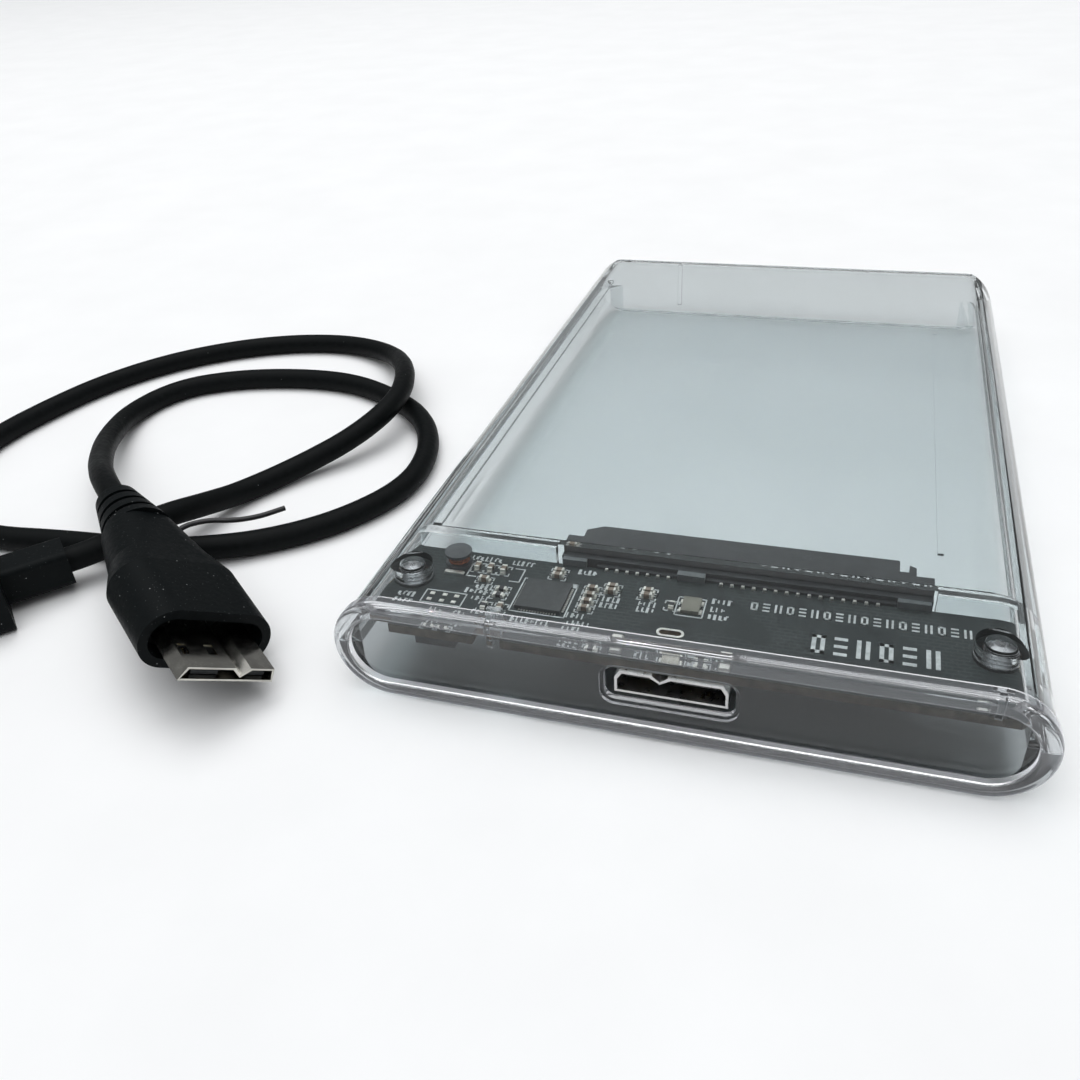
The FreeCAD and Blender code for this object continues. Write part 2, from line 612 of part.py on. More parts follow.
def micro_b_overmold():
    """Straight-sided grip, shoulder, narrower neck and grooved relief; +Z runs from the nose to the rear."""
    sections = [(8.45, 4.1, MICRO_BODY), (8.45, 4.3, MICRO_SHOULDER), (7.9, 4.2, MICRO_SHOULDER + 1.6),
                (6.75, 4.1, MICRO_SHOULDER + 4.6), (5.0, 4.0, RELIEF_START + 0.3)]
    grip = Part.makeLoft([flat_oval(*section) for section in sections], True, True)
    profile = [(0, RELIEF_START), (RELIEF_R, RELIEF_START)]
    for index in range(RELIEF_GROOVES):
        z = RELIEF_START + RELIEF_RING + RELIEF_PITCH * index
        slope = (RELIEF_END_R - RELIEF_R) / (MICRO_LENGTH - RELIEF_START)
        radius = RELIEF_R + slope * (z - RELIEF_START)
        beyond = radius + slope * RELIEF_GAP
        profile += [(radius, z), (radius - RELIEF_CUT, z), (beyond - RELIEF_CUT, z + RELIEF_GAP),
                    (beyond, z + RELIEF_GAP)]
    profile += [(RELIEF_END_R, MICRO_LENGTH), (0, MICRO_LENGTH)]
    wire = outline([vec(r, 0, z) for r, z in profile])
    relief = Part.Face(wire).revolve(vec(0, 0), vec(0, 0, 1), 360)
    body = fused([grip, relief])
    pocket = Part.Face(flat_oval(7.3, 2.85, MICRO_BODY - 1)).extrude(vec(0, 0, MICRO_POCKET + 1))
    pocket_inner = micro_outline(-0.05, MICRO_BODY - 2).extrude(vec(0, 0, 12))
    return body.cut(pocket).cut(pocket_inner)


def micro_outline(inset, along):
    """Micro-B plug outline: narrow bay on -X, wide bay on +X, V between them on the top side."""
    top, bottom = 0.925 - inset, -0.925 + inset
    corners = [(-6.1 + inset, bottom), (6.1 - inset, bottom), (5.4 - inset, top), (-0.6 + inset, top),
               (-1.6, top - 1.1), (-2.6 - inset, top), (-5.75 + inset, top)]
    return Part.Face(outline([vec(x, z, along) for x, z in corners]))


def micro_b_shell():
    outer = micro_outline(0, 0).extrude(vec(0, 0, 12))
    inner = micro_outline(0.25, -1).extrude(vec(0, 0, 12.7))
    shell = outer.cut(inner)
    for x in (1.2, 4.6):
        shell = shell.cut(box(x - 0.55, x + 0.55, 0.2, 2, 2.6, 4.6))
    return shell


def micro_b_insulator():
    return micro_outline(0.27, 5.2).extrude(vec(0, 0, 6.4)).fuse(
        [box(0.9, 4.3, -0.6, -0.1, 0.9, 5.3), box(-5.2, -2.9, -0.6, -0.1, 0.9, 5.3)]).removeSplitter()


def micro_b_contacts():
    bars = []
    for start, step in ((1.3, 0.65), (-4.97, 0.46)):
        for index in range(5):
            x = start + step * index
            bars.append(box(x - 0.13, x + 0.13, -0.1, 0.05, 1.1, 5.0))
    return compound(bars)


# The USB-A plug's frame has its cable end at the origin and +Z running towards the tip.
A_NECK = 9.0
A_BODY_END = 31.0
A_TIP = 49.5


def usb_a_overmold():
    neck = along_z(rounded_outline(-2.9, 2.9, -2.7, 2.7, [0.9] * 4), 0, A_NECK + 0.5)
    body = along_z(rounded_outline(-7.9, 7.9, -4.0, 4.0, [1.6] * 4), A_NECK, A_BODY_END)
    socket = box(-6.0, 6.0, -2.25, 2.25, A_BODY_END - 6, A_BODY_END + 1)
    return fused([neck, body]).cut(socket)


def usb_a_shell():
    outer = along_z(rounded_outline(-6.0, 6.0, -2.25, 2.25, [0.4] * 4), A_BODY_END - 6, A_TIP)
    inner = along_z(rounded_outline(-5.7, 5.7, -1.95, 1.95, [0.2] * 4), A_BODY_END - 7, A_TIP + 1)
    shell = outer.cut(inner)
    for x in (-2.6, 2.6):
        shell = shell.cut(box(x - 1.1, x + 1.1, -4, 4, A_TIP - 7.5, A_TIP - 5.2))
    return shell


def usb_a_insulator():
    back = box(-5.6, 5.6, -1.85, 1.85, A_BODY_END - 6, A_BODY_END + 1)
    tongue = box(-5.6, 5.6, -1.85, -0.1, A_BODY_END, A_TIP - 0.6)
    return fused([back, tongue])


def usb_a_contacts():
    bars = []
    for x in (-3.5, -1.0, 1.0, 3.5):
        bars.append(box(x - 0.5, x + 0.5, -0.1, 0.05, A_TIP - 9, A_TIP - 2.4))
    for x in (-4.0, -2.0, 0.0, 2.0, 4.0):
        bars.append(box(x - 0.3, x + 0.3, -0.1, 0.1, A_TIP - 14, A_TIP - 10.5))
    return compound(bars)


def twist_tie():
    """A wire tie wound once round the strand under the plug, with its free tail."""
    centre = vec(-76.0, -43.6, 2.27)
    lie = vec(-0.99, -0.12, 0)
    ring = Part.makeCylinder(2.25, 2.0, centre, lie).cut(Part.makeCylinder(1.97, 4.0, centre - lie, lie))
    tail_points = [vec(-76.6, -43.6, 4.5), vec(-75.6, -41.2, 5.0), vec(-73.2, -39.0, 4.9),
                   vec(-70.0, -37.3, 4.2), vec(-67.3, -34.8, 3.7), vec(-64.7, -31.5, 3.6)]
    tail = tube("twist_tie tail", tail_points, 0.8)
    return fused([ring, tail])


def main():
    os.makedirs("parts", exist_ok=True)
    save("base_tray", base_tray())
    save("front_cap", front_cap())
    save("sliding_cover", sliding_cover())
    save("circuit_board", circuit_board())
    save("sata_housing", sata_housing())
    signal, power = sata_contact_x()
    save("sata_signal_contacts", compound([sata_contact(x) for x in signal]))
    save("sata_power_contacts", compound([sata_contact(x) for x in power]))
    save("usb_socket_shell", usb_socket_shell())
    save("usb_socket_tongue", usb_socket_tongue())
    save("usb_socket_contacts", usb_socket_contacts())
    save("bridge_chip", soldered_box(-16.2, -53.3, 5.6, 5.6, 0.5))
    save("flash_chip", box(-29.9, -25.0, -60.4, -56.6, BOARD_BOTTOM - 1.35, BOARD_BOTTOM))
    save("crystal_can", soldered_box(1.0, -51.3, 2.1, 2.7, 0.5))
    save("inductor_core", inductor_core())
    save("inductor_winding", inductor_winding())
    save("status_led", soldered_box(0.4, -59.85, 1.9, 1.0, 0.55))
    save("ceramic_capacitors", capacitors())
    save("chip_resistors", resistors())
    save("board_screws", board_screws())

    micro = ride_frame(MICRO_NOSE, MICRO_REAR, ROLL)
    save("micro_b_overmold", placed(micro_b_overmold(), micro))
    save("micro_b_shell", placed(micro_b_shell(), micro))
    save("micro_b_insulator", placed(micro_b_insulator(), micro))
    save("micro_b_contacts", placed(micro_b_contacts(), micro))
    usb_a = ride_frame(USB_A_END, USB_A_FORWARD, 0)
    save("usb_a_overmold", placed(usb_a_overmold(), usb_a))
    save("usb_a_shell", placed(usb_a_shell(), usb_a))
    save("usb_a_insulator", placed(usb_a_insulator(), usb_a))
    save("usb_a_contacts", placed(usb_a_contacts(), usb_a))
    save("cable_jacket", tube("cable_jacket", cable_points(), CABLE_D))
    save("twist_tie", twist_tie())


main()
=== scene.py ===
import bpy
import math
import random
from mathutils import Matrix, Vector


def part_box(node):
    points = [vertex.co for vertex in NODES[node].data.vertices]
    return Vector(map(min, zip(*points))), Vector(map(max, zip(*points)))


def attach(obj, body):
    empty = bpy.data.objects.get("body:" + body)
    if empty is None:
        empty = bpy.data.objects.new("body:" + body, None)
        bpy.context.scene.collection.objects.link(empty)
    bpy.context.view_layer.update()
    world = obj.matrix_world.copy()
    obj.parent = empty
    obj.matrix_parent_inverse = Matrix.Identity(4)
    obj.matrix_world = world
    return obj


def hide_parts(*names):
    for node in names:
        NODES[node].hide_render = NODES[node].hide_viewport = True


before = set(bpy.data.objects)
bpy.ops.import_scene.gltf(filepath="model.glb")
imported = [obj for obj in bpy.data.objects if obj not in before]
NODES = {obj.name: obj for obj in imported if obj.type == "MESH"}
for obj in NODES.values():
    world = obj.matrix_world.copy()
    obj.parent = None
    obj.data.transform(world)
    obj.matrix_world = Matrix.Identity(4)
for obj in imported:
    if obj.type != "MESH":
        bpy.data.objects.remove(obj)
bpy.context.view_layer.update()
MM = 0.001


# ------------------------------------------------------------------ node helpers
class Shader:
    """A material with one Principled shader, and short calls for the nodes that feed it."""

    def __init__(self, name, **values):
        self.material = bpy.data.materials.new(name)
        self.material.use_nodes = True
        self.tree = self.material.node_tree
        self.principled = self.tree.nodes["Principled BSDF"]
        self.output = self.tree.nodes["Material Output"]
        for key, value in values.items():
            self.principled.inputs[key.replace("_", " ")].default_value = value

    def node(self, kind, **settings):
        """New node; each setting is a socket's value, or else one of the node's own properties."""
        made = self.tree.nodes.new(kind)
        for key, value in settings.items():
            if key in made.inputs:
                made.inputs[key].default_value = value
            else:
                setattr(made, key, value)
        return made

    def link(self, source, target):
        self.tree.links.new(source, target)

    def place(self):
        """Place on the piece, in metres; it stays with the piece when that moves."""
        return self.node("ShaderNodeTexCoord").outputs["Object"]

    def noise(self, scale, detail=4.0):
        """Noise fixed to the piece; the scale is in cells per metre."""
        made = self.node("ShaderNodeTexNoise", Scale=scale, Detail=detail, Roughness=0.55)
        self.link(self.place(), made.inputs["Vector"])
        return made.outputs["Fac"]

    def ramp(self, source, *stops):
        """Colour ramp with two stops; each is (position, colour or grey)."""
        made = self.node("ShaderNodeValToRGB")
        for stop, (position, colour) in zip(made.color_ramp.elements, stops):
            stop.position = position
            if not isinstance(colour, tuple):
                colour = (colour, colour, colour)
            stop.color = (*colour, 1.0)
        self.link(source, made.inputs["Fac"])
        return made.outputs["Color"]

    def span(self, source, low, high, new_low, new_high):
        """Maps low to high onto new_low to new_high."""
        made = self.node("ShaderNodeMapRange")
        for key, value in zip(("From Min", "From Max", "To Min", "To Max"), (low, high, new_low, new_high)):
            made.inputs[key].default_value = value
        self.link(source, made.inputs["Value"])
        return made.outputs["Result"]

    def mix(self, factor, first, second):
        """Mix of two colours, each a plain colour or a socket."""
        made = self.node("ShaderNodeMix", data_type="RGBA")
        self.link(factor, made.inputs["Factor"])
        for socket, value in ((made.inputs[6], first), (made.inputs[7], second)):
            if isinstance(value, tuple):
                socket.default_value = (*value, 1.0)
            else:
                self.link(value, socket)
        return made.outputs[2]

    def math(self, operation, first, second=0.0):
        made = self.node("ShaderNodeMath", operation=operation)
        for socket, value in zip(made.inputs, (first, second)):
            if isinstance(value, (int, float)):
                socket.default_value = value
            else:
                self.link(value, socket)
        return made.outputs["Value"]

    def bump(self, height, strength, distance):
        made = self.node("ShaderNodeBump", Strength=strength, Distance=distance)
        self.link(height, made.inputs["Height"])
        return made.outputs["Normal"]

    def colour(self, source):
        self.link(source, self.principled.inputs["Base Color"])

    def rough(self, source):
        self.link(source, self.principled.inputs["Roughness"])

    def normal(self, source):
        self.link(source, self.principled.inputs["Normal"])


# ------------------------------------------------------------------ materials
# The front wall is recessed 0.9 mm behind its rim, and its inner face is 2 mm behind the rim.
FRONT_WALL_INNER_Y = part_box("front_cap")[0].y + 0.002
WALL_REACH = 0.0013             # forward from the inner face, past the wall's outer face and short of the rim
FRONT_MARGIN = 0.0003           # back from the inner face, so that this face counts as part of the front
# Painted light: the rim's whiter tint and its whitish sheen brighten the rim, standing in for the light
# caught in the thick plastic.
RIM_PAINTED_LIGHT_TINT = (0.965, 0.968, 0.985)
RIM_PAINTED_SHEEN = 0.6
RIM_PAINTED_SHEEN_TINT = (0.93, 0.94, 1.0, 1.0)
# Painted shade: the dark tint on the flat front wall stands for the shade under the board seen through it.
WALL_PAINTED_SHADE_TINT = (0.42, 0.443, 0.453)
SHADOW_TINT = (0.93, 0.955, 0.96, 1.0)
CONTACT_TAIL_Y = -0.04515       # the drive contacts are tinned in front of this place


def clear_plastic():
    """Polished clear polycarbonate, open to the lamps: its flat front wall has a dark tint as painted shade,
    for the shade under the board seen through it; its rim has a whiter tint and a whitish sheen as painted
    light.
    """
    shader = Shader("clear_polycarbonate", IOR=1.49, Specular_IOR_Level=0.18)
    shader.principled.inputs["Transmission Weight"].default_value = 1.0
    haze = shader.noise(9.0, 3.0)
    body = shader.ramp(haze, (0.3, (0.855, 0.884, 0.890)), (0.7, (0.880, 0.905, 0.911)))
    split = shader.node("ShaderNodeSeparateXYZ")
    shader.link(shader.place(), split.inputs["Vector"])
    front = shader.math("LESS_THAN", split.outputs["Y"], FRONT_WALL_INNER_Y + FRONT_MARGIN)
    facing = shader.node("ShaderNodeSeparateXYZ")
    shader.link(shader.node("ShaderNodeNewGeometry").outputs["Normal"], facing.inputs["Vector"])
    flat = shader.math("GREATER_THAN", shader.math("ABSOLUTE", facing.outputs["Y"]), 0.9)
    behind_rim = shader.math("GREATER_THAN", split.outputs["Y"], FRONT_WALL_INNER_Y - WALL_REACH)
    wall = shader.math("MULTIPLY", flat, behind_rim)
    # Painted light and shade at the front: the whiter painted-light tint on the rim, and the dark
    # painted-shade tint on the flat wall.
    front_painted_light_and_shade = shader.mix(wall, RIM_PAINTED_LIGHT_TINT, WALL_PAINTED_SHADE_TINT)
    shader.colour(shader.mix(front, body, front_painted_light_and_shade))
    # Painted sheen: a whitish sheen on the rim only, standing in for the light the rim catches.
    rim = shader.math("MULTIPLY", front, shader.math("SUBTRACT", 1.0, wall))
    shader.link(shader.math("MULTIPLY", rim, RIM_PAINTED_SHEEN), shader.principled.inputs["Sheen Weight"])
    shader.principled.inputs["Sheen Roughness"].default_value = 0.6
    shader.principled.inputs["Sheen Tint"].default_value = RIM_PAINTED_SHEEN_TINT
    scratch = shader.node("ShaderNodeTexNoise", Scale=34.0, Detail=2.0)
    stretch = shader.node("ShaderNodeMapping")
    stretch.inputs["Scale"].default_value = (9.0, 0.7, 1.0)
    stretch.inputs["Rotation"].default_value = (0.0, 0.0, 0.5)
    shader.link(shader.place(), stretch.inputs["Vector"])
    shader.link(stretch.outputs["Vector"], scratch.inputs["Vector"])
    shader.rough(shader.span(scratch.outputs["Fac"], 0.45, 0.75, 0.010, 0.024))
    open_pass = shader.node("ShaderNodeBsdfTransparent", Color=SHADOW_TINT)
    path = shader.node("ShaderNodeLightPath")
    either = shader.node("ShaderNodeMixShader")
    shader.link(path.outputs["Is Shadow Ray"], either.inputs["Fac"])
    shader.link(shader.principled.outputs["BSDF"], either.inputs[1])
    shader.link(open_pass.outputs["BSDF"], either.inputs[2])
    shader.link(either.outputs["Shader"], shader.output.inputs["Surface"])
    return shader.material


def board_mask():
    """Dark solder mask with faint copper tracks under it, and a brown laminate edge."""
    shader = Shader("solder_mask", Roughness=0.34, IOR=1.5, Specular_IOR_Level=0.3)
    tracks = shader.node("ShaderNodeTexBrick", Scale=420.0)
    tracks.inputs["Mortar Size"].default_value = 0.055
    tracks.inputs["Mortar Smooth"].default_value = 0.4
    shader.link(shader.place(), tracks.inputs["Vector"])
    lines = tracks.outputs["Fac"]
    patches = shader.ramp(shader.noise(160.0, 1.0), (0.47, 0.0), (0.53, 1.0))
    seen = shader.math("MULTIPLY", lines, patches)
    mask = shader.mix(seen, (0.026, 0.033, 0.034), (0.038, 0.048, 0.048))
    facing = shader.node("ShaderNodeNewGeometry").outputs["Normal"]
    split = shader.node("ShaderNodeSeparateXYZ")
    shader.link(facing, split.inputs["Vector"])
    flat = shader.math("GREATER_THAN", shader.math("ABSOLUTE", split.outputs["Z"]), 0.6)
    weave = shader.ramp(shader.noise(900.0, 2.0), (0.35, (0.13, 0.095, 0.06)), (0.7, (0.25, 0.19, 0.125)))
    shader.colour(shader.mix(flat, weave, mask))
    shader.rough(shader.span(shader.noise(260.0), 0.3, 0.7, 0.28, 0.42))
    shader.normal(shader.bump(seen, 0.25, 0.00002))
    return shader.material


def plain_plastic(name, dark, light, grain, rough_low, rough_high, depth):
    """Moulded plastic: grain in colour, roughness and surface."""
    shader = Shader(name, IOR=1.5)
    fine = shader.noise(grain, 5.0)
    shader.colour(shader.ramp(fine, (0.3, dark), (0.75, light)))
    shader.rough(shader.span(shader.noise(grain * 0.35, 3.0), 0.3, 0.7, rough_low, rough_high))
    shader.normal(shader.bump(fine, 0.35, depth))
    return shader.material


def dusty_pvc(name, dark, light, grain, specks):
    """Soft black PVC with a fine spark-eroded grain; specks is a list of (cells per metre, limit, colour)."""
    shader = Shader(name, IOR=1.5, Specular_IOR_Level=0.08)
    fine = shader.noise(grain, 4.0)
    seen = shader.ramp(fine, (0.3, dark), (0.75, light))
    for scale, limit, colour in specks:
        cells = shader.node("ShaderNodeTexVoronoi", Scale=scale, Randomness=1.0)
        shader.link(shader.place(), cells.inputs["Vector"])
        near = shader.ramp(cells.outputs["Distance"], (0.07, 1.0), (0.13, 0.0))
        chosen = shader.node("ShaderNodeSeparateColor")
        shader.link(cells.outputs["Color"], chosen.inputs["Color"])
        rare = shader.math("GREATER_THAN", chosen.outputs["Red"], limit)
        seen = shader.mix(shader.math("MULTIPLY", near, rare), seen, colour)
    shader.colour(seen)
    shader.rough(shader.span(fine, 0.3, 0.7, 0.46, 0.62))
    shader.normal(shader.bump(fine, 0.5, 0.00006))
    return shader.material


def metal(name, dark, light, rough_low, rough_high):
    """Metal with a fine grain in colour, roughness and surface."""
    grain = 700.0
    shader = Shader(name, Metallic=1.0)
    shader.colour(shader.ramp(shader.noise(grain * 0.5, 4.0), (0.3, dark), (0.75, light)))
    fine = shader.noise(grain, 5.0)
    shader.rough(shader.span(fine, 0.3, 0.7, rough_low, rough_high))
    shader.normal(shader.bump(fine, 0.2, 0.00001))
    return shader.material


def ferrite():
    """Drum core: grey, slightly speckled ferrite."""
    shader = Shader("ferrite_drum", IOR=1.6)
    speckle = shader.noise(1100.0, 5.0)
    shader.colour(shader.ramp(speckle, (0.3, (0.05, 0.056, 0.06)), (0.75, (0.085, 0.094, 0.10))))
    shader.rough(shader.span(shader.noise(900.0), 0.3, 0.7, 0.3, 0.45))
    shader.normal(shader.bump(shader.noise(1500.0), 0.4, 0.00003))
    return shader.material


def drive_contact():
    """Gold springs with tinned tails in front of the housing."""
    shader = Shader("drive_contact", Metallic=1.0)
    split = shader.node("ShaderNodeSeparateXYZ")
    shader.link(shader.place(), split.inputs["Vector"])
    tail = shader.math("LESS_THAN", split.outputs["Y"], CONTACT_TAIL_Y)
    grain = shader.noise(500.0, 4.0)
    gold = shader.ramp(grain, (0.3, (0.62, 0.50, 0.26)), (0.75, (0.82, 0.70, 0.42)))
    tin = shader.ramp(grain, (0.3, (0.80, 0.80, 0.78)), (0.75, (0.92, 0.92, 0.90)))
    shader.colour(shader.mix(tail, gold, tin))
    shader.rough(shader.span(shader.noise(700.0, 5.0), 0.3, 0.7, 0.25, 0.45))
    return shader.material


def printed_ink():
    """Matt white ink, a little uneven."""
    shader = Shader("printed_ink", IOR=1.45)
    shader.colour(shader.ramp(shader.noise(1400.0), (0.3, (0.42, 0.45, 0.45)), (0.6, (0.62, 0.65, 0.65))))
    shader.rough(shader.span(shader.noise(900.0), 0.3, 0.7, 0.5, 0.7))
    return shader.material


CLEAR = clear_plastic()
BOARD = board_mask()
NYLON = plain_plastic("black_nylon", (0.024, 0.028, 0.031), (0.038, 0.042, 0.045), 900.0, 0.42, 0.58, 0.00002)
GREY_NYLON = plain_plastic("grey_nylon", (0.10, 0.115, 0.118), (0.14, 0.155, 0.16), 900.0, 0.4, 0.55, 0.00002)
EPOXY = plain_plastic("chip_epoxy", (0.028, 0.032, 0.034), (0.044, 0.048, 0.050), 1500.0, 0.40, 0.52, 0.00001)
DUST = [
    (2600.0, 0.55, (0.10, 0.11, 0.11)),
    (1500.0, 0.86, (0.30, 0.31, 0.31)),
    (330.0, 0.9, (0.0, 0.0, 0.0)),
]
JACKET_DUST = [(1500.0, 0.97, (0.16, 0.17, 0.17))]
PLUG = dusty_pvc("plug_pvc", (0.0022, 0.0034, 0.0038), (0.0048, 0.0066, 0.0072), 1600.0, DUST)
JACKET = dusty_pvc("jacket_pvc", (0.0024, 0.0032, 0.0034), (0.005, 0.0062, 0.0066), 1300.0, JACKET_DUST)
TIE = plain_plastic("tie_pvc", (0.008, 0.008, 0.009), (0.02, 0.02, 0.021), 1500.0, 0.35, 0.5, 0.00002)
GOLD = metal("gold_contact", (0.62, 0.50, 0.26), (0.82, 0.70, 0.42), 0.18, 0.32)
PLUG_STEEL = metal("plug_steel", (0.40, 0.39, 0.36), (0.62, 0.61, 0.56), 0.12, 0.24)
STEEL = metal("plated_steel", (0.46, 0.46, 0.46), (0.66, 0.66, 0.65), 0.22, 0.40)
TIN = metal("solder_tin", (0.70, 0.69, 0.64), (0.90, 0.89, 0.84), 0.34, 0.52)
SCREW = metal("zinc_screw", (0.30, 0.30, 0.31), (0.55, 0.55, 0.56), 0.20, 0.36)
CAN = metal("crystal_lid", (0.24, 0.235, 0.20), (0.34, 0.33, 0.285), 0.36, 0.52)
COPPER = metal("winding_wire", (0.30, 0.10, 0.05), (0.46, 0.18, 0.09), 0.2, 0.34)
CERAMIC = plain_plastic("capacitor_ceramic", (0.16, 0.12, 0.085), (0.26, 0.20, 0.15), 1800.0, 0.35, 0.5,
                        0.00001)
FILM = plain_plastic("resistor_film", (0.02, 0.02, 0.022), (0.045, 0.045, 0.05), 1800.0, 0.3, 0.45, 0.00001)
LED = plain_plastic("led_resin", (0.46, 0.44, 0.36), (0.62, 0.60, 0.52), 1200.0, 0.25, 0.4, 0.00001)
BLUE = plain_plastic("blue_tongue", (0.008, 0.045, 0.24), (0.016, 0.075, 0.34), 1100.0, 0.38, 0.5, 0.00001)
INK = printed_ink()
DRIVE_CONTACT = drive_contact()

CAD_MATERIALS = {
    "base_tray": CLEAR, "front_cap": CLEAR, "sliding_cover": CLEAR, "circuit_board": BOARD,
    "sata_housing": NYLON, "sata_signal_contacts": DRIVE_CONTACT, "sata_power_contacts": DRIVE_CONTACT,
    "usb_socket_shell": STEEL, "usb_socket_tongue": NYLON, "usb_socket_contacts": GOLD,
    "bridge_chip": EPOXY, "flash_chip": EPOXY, "crystal_can": CAN, "inductor_core": ferrite(),
    "inductor_winding": COPPER, "status_led": LED, "ceramic_capacitors": CERAMIC, "chip_resistors": FILM,
    "board_screws": SCREW, "micro_b_overmold": PLUG, "micro_b_shell": PLUG_STEEL, "micro_b_insulator": NYLON,
    "micro_b_contacts": GOLD, "usb_a_overmold": PLUG, "usb_a_shell": STEEL, "usb_a_insulator": BLUE,
    "usb_a_contacts": GOLD, "twist_tie": TIE,
}
for name, material in CAD_MATERIALS.items():
    node = NODES[name]
    node.data.materials.clear()
    node.data.materials.append(material)


# ------------------------------------------------------------------ mesh helpers
def mesh_piece(name, verts, faces, material, body):
    """One visual piece that rides on a body."""
    mesh = bpy.data.meshes.new(name)
    mesh.from_pydata([tuple(v) for v in verts], [], faces)
    mesh.validate()
    mesh.update()
    mesh.materials.append(material)
    piece = bpy.data.objects.new(name, mesh)
    bpy.context.scene.collection.objects.link(piece)
    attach(piece, body)


class Prisms:
    """Collects low prisms, all in millimetres, into one mesh."""

    def __init__(self):
        self.verts = []
        self.faces = []

    def prism(self, ring, z0, z1, shrink):
        """Prism over a ring of (x, y) points; the top is shrunk about the ring's centre."""
        count = len(ring)
        base = len(self.verts)
        cx = sum(p[0] for p in ring) / count
        cy = sum(p[1] for p in ring) / count
        self.verts += [Vector((x, y, z0)) * MM for x, y in ring]
        self.verts += [Vector((cx + (x - cx) * shrink, cy + (y - cy) * shrink, z1)) * MM for x, y in ring]
        self.faces.append([base + i for i in reversed(range(count))])
        self.faces.append([base + count + i for i in range(count)])
        for i in range(count):
            j = (i + 1) % count
            self.faces.append([base + i, base + j, base + count + j, base + count + i])

    def bar(self, x, y, size_x, size_y, z0, z1, angle=0.0, shrink=1.0):
        """Low block about (x, y), turned by an angle about Z."""
        c, s = math.cos(angle), math.sin(angle)
        ring = []
        for sx, sy in ((-1, -1), (1, -1), (1, 1), (-1, 1)):
            dx, dy = sx * size_x / 2, sy * size_y / 2
            ring.append((x + dx * c - dy * s, y + dx * s + dy * c))
        self.prism(ring, z0, z1, shrink)

    def line(self, start, end, width, z0, z1):
        """Straight stroke whose square ends reach half its width past both points."""
        dx, dy = end[0] - start[0], end[1] - start[1]
        length = math.hypot(dx, dy)
        middle = ((start[0] + end[0]) / 2, (start[1] + end[1]) / 2)
        self.bar(*middle, length + width, width, z0, z1, math.atan2(dy, dx))

    def oval(self, x, y, outer, inner, z0, z1, stretch):
        """Flat ring whose two halves are moved apart along X by twice the stretch."""
        steps = 28
        base = len(self.verts)
        for radius, z in ((outer, z0), (outer, z1), (inner, z1), (inner, z0)):
            for i in range(steps):
                turn = 2 * math.pi * i / steps
                shift = stretch if math.cos(turn) >= 0 else -stretch
                across = x + shift + radius * math.cos(turn)
                self.verts.append(Vector((across, y + radius * math.sin(turn), z)) * MM)
        for row in range(4):
            for i in range(steps):
                j = (i + 1) % steps
                a, b = base + row * steps, base + ((row + 1) % 4) * steps
                self.faces.append([a + i, a + j, b + j, b + i])

    def build(self, name, material):
        mesh_piece(name, self.verts, self.faces, material, "enclosure")


def islands(node):
    """Lowest and highest corner, in millimetres, of each separate solid in a CAD node."""
    mesh = NODES[node].data
    parent = list(range(len(mesh.vertices)))

    def root(i):
        while parent[i] != i:
            parent[i] = parent[parent[i]]
            i = parent[i]
        return i

    places = {}
    for vertex in mesh.vertices:
        key = tuple(round(c * 1e6) for c in vertex.co)
        first = places.setdefault(key, vertex.index)
        parent[root(vertex.index)] = root(first)
    for polygon in mesh.polygons:
        first = root(polygon.vertices[0])
        for index in polygon.vertices[1:]:
            parent[root(index)] = first
    groups = {}
    for vertex in mesh.vertices:
        groups.setdefault(root(vertex.index), []).append(vertex.co / MM)
    boxes = []
    for points in groups.values():
        low = Vector([min(p[axis] for p in points) for axis in range(3)])
        high = Vector([max(p[axis] for p in points) for axis in range(3)])
        boxes.append((low, high))
    return sorted(boxes, key=lambda pair: (round(pair[0].x, 3), round(pair[0].y, 3)))


# ------------------------------------------------------------------ board details
BOARD_LOW, BOARD_HIGH = (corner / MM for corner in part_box("circuit_board"))
BOARD_TOP = BOARD_HIGH.z
INK_HIGH = 0.03
INK_WIDE = 0.16


CAP_LENGTH = 0.27               # tinned cap on each end of a small part
CAP_PAST = 0.02                 # how far the cap reaches past the part's end
FILLET_OUT = 0.16               # from the cap's middle out to the fillet's
FILLET = (0.42, 0.22, 0.72)     # solder fillet beside each cap: length, height, shrink
CHIP_LEADS = 14                 # on each of the four sides
LEAD_INSET = 0.6                # from the chip's corner to its first lead
# Pads and joints of solder: x, y, width, depth, height, shrink
HEADER_PADS = [(x, y, 0.62, 0.5, 0.07, 0.85) for x in (-29.6, -28.0, -26.5) for y in (-55.4, -56.6)]
INDUCTOR_PADS = [(-28.6, -50.75, 2.6, 0.6, 0.14, 0.9), (-28.9, -46.75, 1.8, 0.5, 0.1, 0.9)]
SOCKET_FEET = [(-5.9, -59.0, 1.4, 1.1, 0.3, 0.75), (6.2, -59.3, 1.4, 1.1, 0.3, 0.75)]
LONE_PAD = [(32.0, -59.8, 1.1, 0.55, 0.18, 0.7)]
SLOT_RING = (-0.45, -56.5, 0.72, 0.41)   # plated slot: x, y, outer and inner radius
SLOT_STRETCH = 0.85


